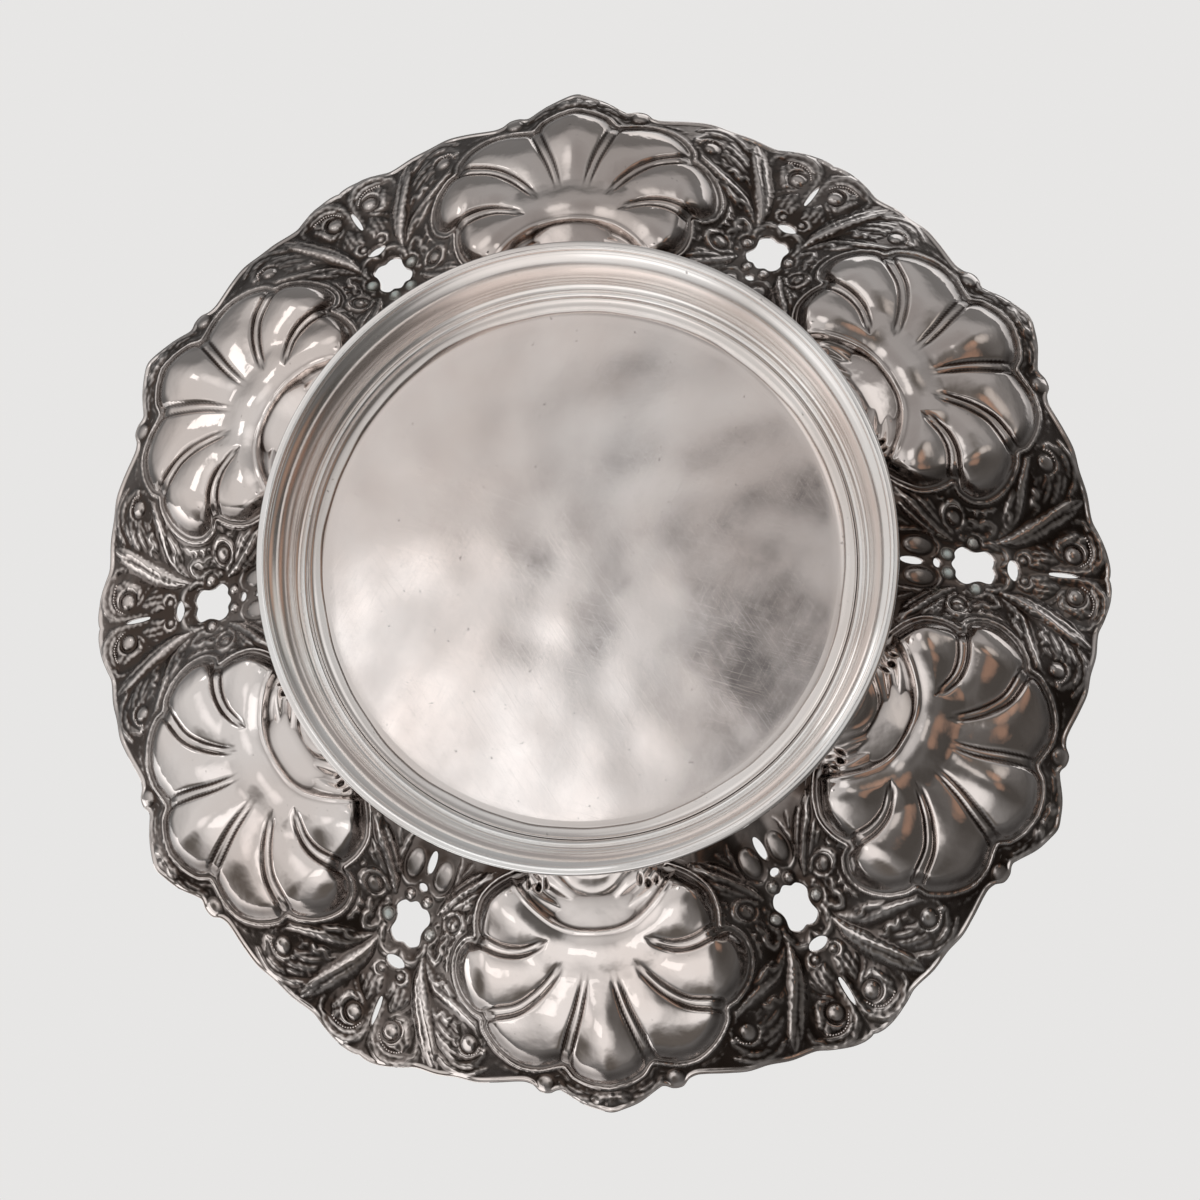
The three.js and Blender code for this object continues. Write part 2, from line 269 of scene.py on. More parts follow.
PANEL_STROKES = [
    # Large volute at the rim, its bands and the comma leaves inside it
    (0.75, 0.6, [(0.6, 78.6), (0.7, 82.5), (0.8, 85.4), (1.4, 87.5), (2.9, 88.7), (5, 89), (7.2, 88.4),
        (8.9, 87.1), (9.6, 85.2), (9.2, 83), (7.9, 80.8)]),
    (0.6, 0.4, [(1.5, 81.8), (1.5, 84.6), (2.5, 86.6), (4.3, 87.5), (6.3, 87.2), (7.8, 86.2)]),
    (0.55, 0.4, [(3.1, 81.9), (2.1, 83.1), (2.3, 84.9), (3.6, 85.9), (5.1, 85.4), (5.6, 84), (5.1, 82.6)]),
    (0.55, 0.45, [(5.7, 80), (6, 82.2), (7.1, 84.2), (8.4, 85)]),
    (0.5, 0.4, [(6.5, 79), (7, 81.2), (8.3, 83.3)]),
    (0.5, 0.4, [(6.1, 84.4), (6.6, 85.6), (7.6, 86)]),
    (0.45, 0.4, [(3.2, 81), (4.7, 79.9), (5.9, 78), (6.4, 76)]),
    (0.45, 0.35, [(4.2, 81.3), (5.2, 80.9), (5.6, 79.6)]),
    # Stem beside the slit, ending in small volutes over the outer opening
    (0.5, 0.4, [(1, 75.8), (1.3, 77.2), (1.1, 79)]),
    (0.5, 0.4, [(2, 76.1), (2.4, 78.4), (2.1, 81)]),
    (0.45, 0.35, [(3, 75.8), (3.4, 78.2), (3.2, 80.4)]),
    (0.55, 0.4, [(0.3, 74.6), (1.2, 73.9), (2.4, 73.9), (3.1, 74.8), (2.7, 75.8), (1.6, 75.9)]),
    # Comma leaves along the stem
    (0.5, 0.45, [(3.9, 79.4), (4.7, 77.2), (4.9, 74.9), (4.6, 72.6)]),
    (0.45, 0.35, [(5, 78.6), (5.6, 76.9), (5.5, 75.2)]),
    # Long pointed leaf to the rim
    (0.85, 0.6, [(4.3, 70.4), (5.1, 73), (6.7, 75.9), (8.9, 78.9), (11.2, 81.9), (13.2, 84.3),
        (14.4, 85.6)]),
    (0.7, 0.5, [(4.1, 71.8), (4.9, 74.4), (6.3, 77.1), (8.2, 80), (9.9, 82.8), (11.2, 85), (11.9, 86.5)]),
    (0.55, 0.35, [(9.3, 80.3), (10.8, 82.9), (12.3, 85), (13, 86.1)]),
    (0.55, 0.4, [(12, 81.9), (14, 83.6), (16, 84.6)]),
    (0.45, 0.35, [(9.9, 84), (10.5, 85.4), (10.7, 86.7)]),
    # Second spray with its own volute and wavy leaf edge
    (0.7, 0.5, [(14, 82), (16.2, 82.9), (18.6, 82.9), (20.5, 81.7), (21.2, 79.8), (20.6, 77.9),
        (19, 77)]),
    (0.5, 0.4, [(19.4, 78), (20, 79.6), (19.2, 81), (17.7, 81.3), (16.6, 80.4)]),
    (0.55, 0.4, [(14.4, 84), (16.9, 84.5), (19.5, 84), (21.7, 82.6), (23.2, 80.7)]),
    (0.5, 0.4, [(10.4, 79.3), (12.7, 80.7), (15.1, 81.5), (17, 81.9)]),
    (0.4, 0.35, [(10.4, 78.2), (12.6, 79.2), (14.8, 79.8), (16.4, 79.5)]),
    (0.55, 0.35, [(9.4, 76.9), (10.7, 77.8), (11.7, 76.8), (12.8, 77.6), (13.9, 76.6), (15, 77.4),
        (16.2, 76.7), (17.3, 77.5)]),
    (0.4, 0.35, [(11.5, 76.4), (13.4, 76), (15.6, 76.2)]),
    # Leaf along the shell
    (0.65, 0.45, [(5.5, 70.8), (7, 73.1), (9.5, 74.4), (12.8, 74.8), (16, 75.5), (18.8, 76.9)]),
    (0.55, 0.4, [(7.8, 70.9), (9.8, 72.3), (12.4, 73.3), (15.4, 73.9), (18.2, 74.8)]),
    (0.5, 0.4, [(6.5, 71.6), (7.9, 72.9), (9.2, 72.6), (9.1, 71.4), (8.1, 71)]),
    # Stippled patch and its wavy frame
    (0.55, 0.35, [(4.6, 64.6), (5.2, 66.5), (4.8, 68.3), (5.6, 69.6), (6.8, 69.8), (7.3, 68.6), (6.9, 67.2),
        (7.5, 65.9), (6.9, 64.7)]),
    (0.5, 0.4, [(10, 70.6), (9, 68.6), (8.8, 66.6), (9.4, 64.9)]),
    # Small volute and the curled ear of the shell
    (0.6, 0.45, [(4.4, 64.4), (6, 63.7), (7.6, 64.6), (9.1, 64), (9.4, 62.4), (8.3, 61.3), (6.7, 61.4),
        (5.3, 62.3)]),
    (0.6, 0.45, [(10.1, 65.4), (11.6, 65), (12.1, 63.5), (11.3, 62.3), (10.2, 62.2)]),
    # Leaf sprays running in to the foot
    (0.75, 0.5, [(4.2, 62.4), (5.6, 59.7), (8, 56.9), (10.6, 54.2), (12.2, 52.2)]),
    (0.6, 0.4, [(4.4, 60.6), (5.7, 57.9), (7.4, 55.4), (9.2, 53.2)]),
    (0.6, 0.4, [(5.9, 61.3), (7.8, 59.1), (9.9, 57.1), (11.7, 55)]),
    (0.5, 0.35, [(7.9, 60.2), (9.5, 58.9), (11, 57.2)]),
    (0.5, 0.35, [(5.6, 55.9), (6.4, 54), (7.3, 52.4)]),
    (0.45, 0.35, [(9.7, 60.6), (10.6, 60.1), (11.2, 59)]),
    # Arches over the oval domes, and the collars of the main opening
    (0.65, 0.45, [(0.9, 58.9), (2.4, 60.1), (4.2, 59.2), (5, 56.9), (5, 54), (4.6, 52.4)]),
    (0.7, 0.45, [(0.2, 70.5), (0.9, 71.7), (2.2, 72.1), (3.5, 71.4), (4.1, 69.8), (4, 68.2)]),
    (0.4, 0.3, [(1.2, 70.8), (2.2, 71.1), (3, 70.4)]),
    (0.45, 0.35, [(2.6, 62.4), (3.3, 63.6), (3.7, 64.9)]),
    # Fleuron on the rim
    (0.55, 0.4, [(0.5, 88.2), (0.9, 89.2), (1.9, 89.5)]),
]

# Round bosses: height, aside, out, half width aside, half width outward
PANEL_BOSSES = [
    (1, 3.7, 83.7, 1.6, 1.6),
    (0.95, 18.2, 79.4, 1.5, 1.5),
    (0.8, 7.5, 62.9, 1.3, 1.3),
    (0.95, 2.7, 56.6, 1.75, 2.7),
    (1, 1.65, 61.5, 0.95, 0.95),
    (1, 4, 66.2, 1, 1.05),
    (0.7, 1.85, 74.8, 0.8, 0.8),
    (0.45, 8.3, 66, 0.45, 0.45),
    (0.45, 8.2, 67.6, 0.45, 0.45),
    (0.45, 8.5, 69.2, 0.45, 0.45),
]
SHELL_BOSSES = [
    (0.95, 11.3, 85, 1.75, 1.65),
]

# Bosses where dried polish clings: aside and out, and how far it spreads
RESIDUE_SPOTS = [(1.65, 61.5), (4, 66.2)]
RESIDUE_SPREAD = 1.3

# Rows of fine chased beads: radius of a bead, spacing and path
BEAD_ROWS = [
    (0.23, 0.5, [(1.9, 84.9), (2.8, 86.1), (4.3, 86.8), (6, 86.5), (7.2, 85.7)]),
    (0.2, 0.5, [(19, 80.9), (20.2, 80.2), (20.4, 78.7)]),
]

# Plump bodies of the leaves and volutes, under the strokes: height, half width and middle line
PANEL_BODIES = [
    (0.75, 3, [(3.4, 80.2), (4.6, 83), (6.6, 86.6)]),
    (0.6, 2.2, [(2, 73.8), (2.5, 77), (2.6, 81)]),
    (0.9, 1.9, [(4.4, 70.4), (5.6, 74.2), (7.8, 78.2), (10.6, 82.2), (13.4, 86)]),
    (0.8, 2.7, [(8.4, 75.8), (12.5, 79), (16.5, 80.4), (21.2, 79.4)]),
    (0.7, 1.7, [(5.2, 70.6), (8.5, 72.7), (12.5, 73.9), (17.5, 75.2), (21, 77.2)]),
    (0.6, 2.1, [(6.2, 63.6), (6.4, 67), (6.9, 70.6)]),
    (0.6, 2, [(4.6, 62.6), (7.5, 62.4), (10.4, 63.6)]),
    (0.75, 1.8, [(4.2, 62.4), (6.6, 58.4), (9.4, 55), (12.2, 52)]),
    (0.5, 1.3, [(12.6, 83.4), (17.5, 84.4), (23, 81.6)]),
    (0.6, 1.5, [(6.2, 61), (9, 57.9), (12.4, 55.6)]),
    (0.5, 1.1, [(9.4, 61.6), (11.4, 59.6), (12.8, 57.6)]),
    (0.6, 1.4, [(10.2, 70.6), (8.8, 67.6), (9.8, 64.8)]),
    (0.6, 1.5, [(1.2, 86.4), (4.6, 88.2), (9.2, 86)]),
    (0.5, 1.4, [(3, 70.8), (4.4, 67.6), (4.6, 63.2)]),
]
SHELL_BODIES = [
    (0.5, 1.3, [(-1, 87.4), (3, 87.6), (6, 86.6), (9.6, 84.4)]),
]

# How strongly the strokes, leaves and punch marks stand out
GROUND_SINK = 0.7
RELIEF_SCALE = 1.6
STROKE_FOOT = 4.2
VEIN_DEPTH = 0.16
VEIN_SPACING = 0.95
CHASING_DEPTH = 0.1

# Rounded raised lines: height, distance of the middle beyond an outline or line, and half width
SHELL_BORDERS = [(0.8, 0.5, 0.5), (0.4, 1.7, 0.4)]
OPENING_LIP = (0.3, 0.3, 0.5)
ROLLED_EDGE = (0.6, 0.2, 0.42)
RIB_RIDGE = (0.15, 0, 0.6)
HINGE_LIP = (0.4, 0, 0.8)
HINGE_BULGE = (1.3, 3.2, 5.0)
# Grooves beside a rib, as such a line sunk in: at the rib's inner end and at its outer end
GROOVE_INNER = (0.5, 0.5, 0.38)
GROOVE_OUTER = (0.75, 0.9, 0.58)
# The rolled edge starts this far below the plain form
ROLLED_EDGE_BASE = 0.15
# Depths between which the leaves fade out towards a shell
SHELL_MARGIN = (-2.2, -1.0)

# Way over which the relief fades in next to the foot, and its blurs on the two sides, in grid rows
FADE_WIDTH = 2.5
UNDER_BLUR = 0.8
TOP_BLUR = 3.5

# The die presses the relief straight down, so its height is taken off along this
UPWARD = np.array([0.0, 0.0, 1.0])


def raised_line(distance, height, middle, width):
    return height * bell(distance - middle, width)


def stroke_height(x, y, height, width, points):
    """A sharp-backed fold with hollow flanks, lower towards both ends."""
    distance, along = distance_to_path(x, y, rounded_path(points))
    swell = np.sin(np.pi * np.clip(along, 0.03, 0.97)) ** 0.5
    foot = STROKE_FOOT * width * (0.5 + 0.5 * swell)
    return height * (0.4 + 0.6 * swell) * sharp_fold(distance, foot)


def body_height(x, y, height, width, points):
    """A plump leaf, pointed at both ends, and the fine veins along it."""
    distance, along = distance_to_path(x, y, rounded_path(points))
    swell = np.sin(np.pi * np.clip(along, 0.02, 0.98)) ** 0.7
    plump = swell**0.5 * np.clip(1 - (distance / (width * swell)) ** 2, 0, None) ** 0.6
    veins = VEIN_DEPTH * (1 + np.cos(2 * np.pi * distance / VEIN_SPACING))
    return height * plump, veins * np.sqrt(plump)


def boss_height(x, y, height, aside, out, half_aside, half_out):
    """A round boss, and the share of the other relief that is left around it."""
    reach = np.hypot((x - aside) / half_aside, (y - out) / half_out)
    return height * np.sqrt(np.clip(1 - reach**2, 0, None)), smooth(0.95, 1.4, reach)


def chasing(x, y):
    """Uneven punch marks of the ground between the leaves."""
    across = np.sin(3.3 * x + 1.4 * np.sin(2.1 * y))
    along = np.sin(3.0 * y + 1.2 * np.sin(1.8 * x + 0.7))
    return CHASING_DEPTH * across * along


def ornament(shell, panel, depth):
    """Height of the chased ornament over the plain form, outside the shells."""
    raised, domes, bodies, veins = (np.zeros(depth.shape) for _ in range(4))
    clear = np.ones(depth.shape)
    for places, strokes, bosses, leaves in (
        (shell, SHELL_STROKES, SHELL_BOSSES, SHELL_BODIES),
        (panel, PANEL_STROKES, PANEL_BOSSES, PANEL_BODIES),
    ):
        for leaf in leaves:
            body, leaf_veins = body_height(*places, *leaf)
            veins = np.where(body > bodies, leaf_veins, veins)
            bodies = np.maximum(bodies, body)
        for stroke in strokes:
            raised = np.maximum(raised, stroke_height(*places, *stroke))
        for boss in bosses:
            dome, around = boss_height(*places, *boss)
            domes = np.maximum(domes, dome)
            clear = np.minimum(clear, around)
    lines = [raised_line(-depth, *border) for border in SHELL_BORDERS]
    for at, *shape in OPENINGS:
        lines.append(raised_line(opening_reach(panel[0], panel[1] - at, *shape), *OPENING_LIP))
    ground = (bodies + veins * (1 - smooth(0, 0.3, raised))) * (1 - smooth(*SHELL_MARGIN, depth))
    crest = np.maximum.reduce([raised * clear, domes, *lines])
    return RELIEF_SCALE * crest + (ground + chasing(*panel)) * clear - GROUND_SINK


def chased_ribs(x, y, depth):
    """Height of the chased lines between a shell's lobes, and the share of a lobe's room at each place."""
    crowding = 1 / np.maximum(depth, 0.05) ** 3
    chased = np.zeros(x.shape)
    for points in SHELL_RIBS:
        for side in (1, -1):
            distance, along = distance_to_path(side * x, y, rounded_path(points))
            swell = smooth(0, 0.35, along)
            crowding += (swell / np.maximum(distance, 0.05)) ** 3
            groove = (blend(inner, outer, along) for inner, outer in zip(GROOVE_INNER, GROOVE_OUTER))
            chased += swell * (raised_line(distance, *RIB_RIDGE) - raised_line(distance, *groove))
    return chased, np.clip(crowding ** (-1 / 3) / LOBE_HALF_WIDTH, 0, 1)


def hinge_detail(x, y, depth):
    """Height of the hollow at a shell's hinge with its folds, lip and pits, and of the bulge beyond it."""
    within = depth_inside(x, y, HINGE_CREASE, HINGE_CORNERS)
    crease = np.abs(within)
    wavy = crease + 0.45 * np.cos(0.6 * x)
    folds = sum(height * sharp_fold(wavy - distance, FOLD_FOOT) for height, distance in HINGE_FOLDS)
    share = np.clip(crease / HINGE_DEPTH_SPAN, 0, 1)
    hollow = HINGE_HOLLOW * np.sin(np.pi * share**0.8) - folds
    bulge = raised_line(-within, *HINGE_BULGE) * smooth(0, 2.5, depth)
    pits = sum(bell(np.hypot((x - at) / wide, (y - out) / long), 1) for at, out, wide, long in HINGE_PITS)
    return bulge - np.where(within > 0, hollow, 0) + raised_line(crease, *HINGE_LIP) - pits


def shell_detail(x, y, depth):
    """Height of a shell's lobes over the plain form, with its ribs and hinge."""
    run_in = smooth(UMBO_HOLLOW, UMBO_HOLLOW + LOBE_RUN_IN, np.hypot(x, y - UMBO_RADIUS))
    chased, room = chased_ribs(x, y, depth)
    pillow = 1 - (1 - room) ** 2
    lobes = (LOBE_STEP * smooth(0, LOBE_WALL, depth) + LOBE_PILLOW * pillow) * run_in
    foot_of_border = GROUND_SINK * (1 - smooth(0, 1, depth))
    return lobes + chased + hinge_detail(x, y, depth) - foot_of_border


def from_line(radius, turn):
    """Places aside and out from a middle line, for turns from that line."""
    return radius * np.sin(np.radians(turn)), radius * np.cos(np.radians(turn))


def opening_reach(x, y, length, width, outline):
    """How far a place lies beyond an opening's outline, along the line from its middle."""
    turn = np.arctan2(x / width, y / length)
    oval = np.hypot(length / 2 * np.cos(turn), width / 2 * np.sin(turn))
    return np.hypot(x, y) - oval * curve_through(outline, np.degrees(np.abs(turn)))


# Half a sector of the bowl as a grid of radius and turn, with the openings' edges snapped to shape


def half_grid():
    """Radius and turn of half a sector's vertices, and which of its faces the openings remove."""
    columns = HALF_SECTOR * np.arange(HALF_COLUMNS + 1) / HALF_COLUMNS
    shares = np.arange(RELIEF_ROWS + 1) / RELIEF_ROWS
    radius = blend(NECK_RADIUS, curve_through(RIM_EDGE, columns)[None, :], shares[:, None])
    turn = np.repeat(columns[None, :], RELIEF_ROWS + 1, axis=0)
    x, y = from_line(radius, HALF_SECTOR - turn)
    middle_x = x[1::2, 1::2]
    middle_y = y[1::2, 1::2]
    removed = np.zeros((RELIEF_ROWS, HALF_COLUMNS), bool)
    edges = np.zeros(x.shape, bool)
    for at, *shape in OPENINGS:
        cut = np.repeat(np.repeat(opening_reach(middle_x, middle_y - at, *shape) < 0, 2, axis=0), 2, axis=1)
        edge = touching(cut) & touching(~cut)
        reach = opening_reach(x, y - at, *shape)
        far = np.hypot(x, y - at)
        scale = np.where(edge, (far - reach) / np.maximum(far, 1e-6), 1)
        x = x * scale
        y = at + (y - at) * scale
        removed |= cut
        edges |= edge
    x, y = eased(x, y, edges)
    return np.hypot(x, y), HALF_SECTOR - np.degrees(np.arctan2(x, y)), removed


def near(marks):
    """Faces with any marked vertex, in a grid of vertices."""
    return marks[1:, 1:] | marks[:-1, 1:] | marks[1:, :-1] | marks[:-1, :-1]


def touching(faces):
    """Vertices that touch any of the faces."""
    return near(np.pad(faces, 1))


def eased(x, y, fixed):
    """Spread the vertices around the fixed ones evenly, mirrored at the last column."""
    zone = fixed
    for _ in range(EASED_RINGS):
        zone = touching(near(zone))
    free = (zone & ~fixed)[1:-1, 1:]
    for _ in range(EASING_STEPS):
        for places, side in ((x, -1), (y, 1)):
            wide = np.hstack([places, side * places[:, -2:-1]])
            mean = (wide[:-2, 1:-1] + wide[2:, 1:-1] + wide[1:-1, :-2] + wide[1:-1, 2:]) / 4
            places[1:-1, 1:] = np.where(free, mean, places[1:-1, 1:])
    return x, y


def relief_height(radius, turn):
    """Height of the relief over the plain form, and the depth of each place inside the shell's outline."""
    shell = from_line(radius, turn)
    panel = from_line(radius, HALF_SECTOR - turn)
    depth = depth_inside(*shell, SHELL_OUTLINE, SHELL_CORNERS)
    height = np.where(depth > 0, shell_detail(*shell, depth), ornament(shell, panel, depth))
    rim_distance = curve_through(RIM_EDGE, turn) - radius
    rolled = raised_line(rim_distance, *ROLLED_EDGE) - ROLLED_EDGE_BASE
    return np.maximum(height, rolled) * smooth(NECK_RADIUS, NECK_RADIUS + FADE_WIDTH, radius), depth


def blurred(values, sigma):
    """Gaussian blur of a half sector, mirrored at its two middle lines."""
    reach = int(3 * sigma)
    weights = np.exp(-0.5 * (np.arange(-reach, reach + 1) / sigma) ** 2)
    weights /= weights.sum()
    result = values
    for axis, mode in ((0, "edge"), (1, "reflect")):
        pads = [(0, 0), (0, 0)]
        pads[axis] = (reach, reach)
        padded = np.pad(result, pads, mode=mode)
        size = result.shape[axis]
        result = sum(w * np.take(padded, range(k, k + size), axis=axis) for k, w in enumerate(weights))
    return result


def surface_normals(radius, turn):
    """Upward unit normals of the plain form, in the shell's own frame."""
    step = 0.25
    angle = np.radians(turn)
    aside = np.degrees(step / radius)
    out_slope = (plain_height(radius + step, turn) - plain_height(radius - step, turn)) / (2 * step)
    side_slope = (plain_height(radius, turn + aside) - plain_height(radius, turn - aside)) / (2 * step)
    x = -out_slope * np.cos(angle) + side_slope * np.sin(angle)
    y = -out_slope * np.sin(angle) - side_slope * np.cos(angle)
    normal = np.stack([x, y, np.ones(radius.shape)], axis=-1)
    return normal / np.linalg.norm(normal, axis=-1, keepdims=True)


def plain_points(radius, turn):
    return about_axis(radius, np.radians(turn), plain_height(radius, turn))


def placed(points, sector, mirrored):
    """Points of half a sector, moved to one of its places round the dish."""
    turn = math.radians(2 * HALF_SECTOR * (sector + mirrored))
    side = -1 if mirrored else 1
    x = points[..., 0] * math.cos(turn) - side * points[..., 1] * math.sin(turn)
    y = points[..., 0] * math.sin(turn) + side * points[..., 1] * math.cos(turn)
    return np.stack([x, y, points[..., 2]], axis=-1)


def all_round(half):
    """Points of half a sector, mirrored and turned to the whole ring: rows, columns, xyz."""
    parts = []
    for sector in range(SECTORS):
        parts += [placed(half[:, :-1], sector, False), placed(half[:, :0:-1], sector, True)]
    return np.concatenate(parts, axis=1)


def all_round_values(half):
    return np.concatenate([half[:, :-1], half[:, :0:-1]] * SECTORS, axis=1)


# Meshes


def new_object(name, data):
    item = bpy.data.objects.new(name, data)
    bpy.context.scene.collection.objects.link(item)
    return item


def make_object(name, points, quads, triangles=(), attributes=()):
    """Smooth object of the given faces, without the vertices that no face uses."""
    mesh = bpy.data.meshes.new(name)
    used, corners = np.unique(np.concatenate([np.ravel(quads), np.ravel(triangles)]), return_inverse=True)
    used = used.astype(int)
    starts = np.concatenate([4 * np.arange(len(quads)), 4 * len(quads) + 3 * np.arange(len(triangles))])
    mesh.vertices.add(len(used))
    mesh.vertices.foreach_set("co", (points[used].astype(np.float32) * MM).ravel())
    mesh.loops.add(len(corners))
    mesh.loops.foreach_set("vertex_index", corners.astype(np.int32))
    mesh.polygons.add(len(starts))
    mesh.polygons.foreach_set("loop_start", starts.astype(np.int32))
    mesh.update(calc_edges=True)
    mesh.validate()
    mesh.shade_smooth()
    for label, values in attributes:
        layer = mesh.attributes.new(label, "FLOAT", "POINT")
        layer.data.foreach_set("value", values[used].astype(np.float32))
    return new_object(name, mesh)


def strip(low, high):
    """Faces between closed rows of vertices."""
    return np.stack([low, np.roll(low, -1, axis=-1), np.roll(high, -1, axis=-1), high], axis=-1)


def ring_quads(rows, columns, start=0):
    """Faces between the rows of a closed ring of columns, by row and column."""
    vertices = np.arange(start, start + rows * columns).reshape(rows, columns)
    return strip(vertices[:-1], vertices[1:])


# Bowl. Its vertices run: underside, coarser top side, rounded edge, two hubs of the well, beads.

# Blurs of the relief, in grid rows, that tell its fine and broad hollows
FINE_BLUR = 2.5
BROAD_BLUR = 8.0
TOP_BROAD_BLUR = 6.0
# Share of oxide on the flat ground and on the sharpest ridges of the underside, and inside the dish
FLAT_OXIDE = 0.94
WORN_OXIDE = 0.06
TOP_OXIDE = 0.12
TOP_OXIDE_MOST = 0.6
RIM_OXIDE = 0.05
# Share of the underside's waves and dents that the top side has
TOP_UNEVENNESS = 0.4


def oxide_and_painted_shade(height, depth, rim_distance):
    """Share of oxide on the underside: most in the hollows of the ornament, least on worn ridges. On the
    shells it also holds painted shade, in their broad hollows and on the walls of their lobes.
    """
    fine = height - blurred(height, FINE_BLUR)
    broad = height - blurred(height, BROAD_BLUR)
    ornamented = 1 - smooth(-0.4, 1.0, depth)
    chased = np.clip(FLAT_OXIDE - 2.6 * fine - 0.5 * broad, WORN_OXIDE, 1.0)
    # Oxide in the shells' fine grooves, and painted shade darkening their broad hollows such as the hinge
    # hollow
    groove = np.clip(np.maximum(-5.0 * fine, -0.9 * broad - 0.1), 0, 1)
    # Painted shade: a dark band on the steep walls of the lobes, just inside the shell's outline
    wall = 0.85 * smooth(0, 0.4, depth) * (1 - smooth(1.2, 2.9, depth))
    edge = smooth(0.45, 0.8, rim_distance)
    return np.maximum(ornamented * chased * edge, (1 - ornamented) * np.maximum(groove, wall))


def residue(radius, turn):
    """Share of pale dried polish, which clings around a few of the bosses."""
    x, y = from_line(radius, HALF_SECTOR - turn)
    return sum(bell(np.hypot(x - aside, y - out), RESIDUE_SPREAD) for aside, out in RESIDUE_SPOTS)


def top_tarnish(height):
    """Share of oxide inside the dish: light, and most where the relief sinks, seen from above."""
    return np.clip(TOP_OXIDE + 0.5 * (height - blurred(height, TOP_BROAD_BLUR)), 0, TOP_OXIDE_MOST)


WELL_RADII = [3, 8, 14, 20, 26, 32, 37, 40, 42, 43.2, 43.9, 44.5, 45.1, 45.6, 46.0, 46.2]

# Rows of the rounded edge: share of the way from the underside to the top side, and how far outward
EDGE_ROWS = [(0.175, 0.28), (0.5, 0.36), (0.825, 0.28)]


def well_rows():
    angles = 2 * math.pi * np.arange(COLUMNS) / COLUMNS
    radius = np.array(WELL_RADII, float)[:, None]
    return about_axis(radius, angles, plain_height(radius, 0 * radius))


def edge_rows(under, top):
    """Rounded edge of the sheet between the outermost rows of its two sides."""
    outward = (under + top) * [1, 1, 0]
    outward /= np.linalg.norm(outward, axis=-1, keepdims=True)
    return np.stack([blend(under, top, share) + bulge * outward for share, bulge in EDGE_ROWS])


def stitches(start, middle, end, top_start, top_end):
    """Three triangles from two fine edges to the one coarse edge above them."""
    return [(start, middle, top_start), (middle, end, top_end), (middle, top_end, top_start)]


def opening_walls(removed, top_start):
    """Walls between the fine underside and the coarse top side along every edge of an opening."""
    across = removed.shape[1]
    walls = []
    for i, j in zip(*np.nonzero(removed)):
        corners = np.array([(i, j), (i, j + 1), (i + 1, j + 1), (i + 1, j), (i, j)])
        for k, (row, column) in enumerate(((i - 1, j), (i, j + 1), (i + 1, j), (i, j - 1))):
            if not removed[row, column % across]:
                first, last = corners[k : k + 2]
                halves = (2 * first, first + last, 2 * last)
                fine = [row * COLUMNS + column % COLUMNS for row, column in halves]
                coarse = [top_start + row * across + column % across for row, column in (first, last)]
                walls += stitches(*fine, *coarse)
    return walls


def edge_stitches(fine, coarse):
    """Triangles between a fine row and a coarse row of vertices."""
    triangles = []
    for corners in zip(fine[::2], fine[1::2], np.roll(fine[::2], -1), coarse, np.roll(coarse, -1)):
        triangles += stitches(*corners)
    return triangles


def hub(middle, ring, flip):
    """Triangles from a middle vertex to the ring around it."""
    after = np.roll(ring, -1)
    pair = (after, ring) if flip else (ring, after)
    return np.stack([np.full(len(ring), middle), *pair], axis=-1)


def bowl_surfaces(radius, turn, height):
    """Rows of points: the underside, the top side at half its fineness and the edge between them."""
    plain = plain_points(radius, turn)
    under_half = plain - blurred(height, UNDER_BLUR)[..., None] * UPWARD
    top_half = plain + surface_normals(radius, turn) * SHEET - blurred(height, TOP_BLUR)[..., None] * UPWARD
    well = well_rows()
    under = np.concatenate([well, all_round(under_half)])
    top = np.concatenate([well + SHEET * UPWARD, all_round(top_half)])
    return under, top[::2, ::2], edge_rows(under[-1], top[-1])


def bowl_faces(removed, rows, coarse_rows):
    """Quads and triangles of the bowl without its beads, and the number of its first hub."""
    coarse_columns = COLUMNS // 2
    top_start = rows * COLUMNS
    edge_start = top_start + coarse_rows * coarse_columns
    hub_start = edge_start + len(EDGE_ROWS) * COLUMNS
    kept = np.ones((rows - 1, COLUMNS), bool)
    kept[len(WELL_RADII) :] = ~np.concatenate([removed, removed[:, ::-1]] * SECTORS, axis=1)
    kept_coarse = kept[::2, ::2]
    quads = [
        ring_quads(rows, COLUMNS)[kept],
        ring_quads(coarse_rows, coarse_columns, top_start)[kept_coarse][:, ::-1],
    ]
    starts = [top_start - COLUMNS] + [edge_start + k * COLUMNS for k in range(len(EDGE_ROWS))]
    edge = [start + np.arange(COLUMNS) for start in starts]
    quads += [strip(low, high) for low, high in zip(edge, edge[1:])]
    coarse_row = np.arange(coarse_columns)
    triangles = [
        hub(hub_start, np.arange(COLUMNS), True),
        hub(hub_start + 1, coarse_row + top_start, False),
        opening_walls(~kept_coarse, top_start),
        edge_stitches(edge[-1], coarse_row + edge_start - coarse_columns),
    ]
    return np.concatenate(quads), np.concatenate(triangles), hub_start


def bowl_values(under, top, edge, beads):
    """One value for each vertex of the bowl, with none in the plain well, at its hubs and on the beads."""
    well = np.zeros((len(WELL_RADII), COLUMNS))
    under, top = (np.concatenate([well, all_round_values(half)]) for half in (under, top))
    edges = np.full(len(EDGE_ROWS) * COLUMNS, edge)
    return np.concatenate([under.ravel(), top[::2, ::2].ravel(), edges, np.zeros(2 + beads)])


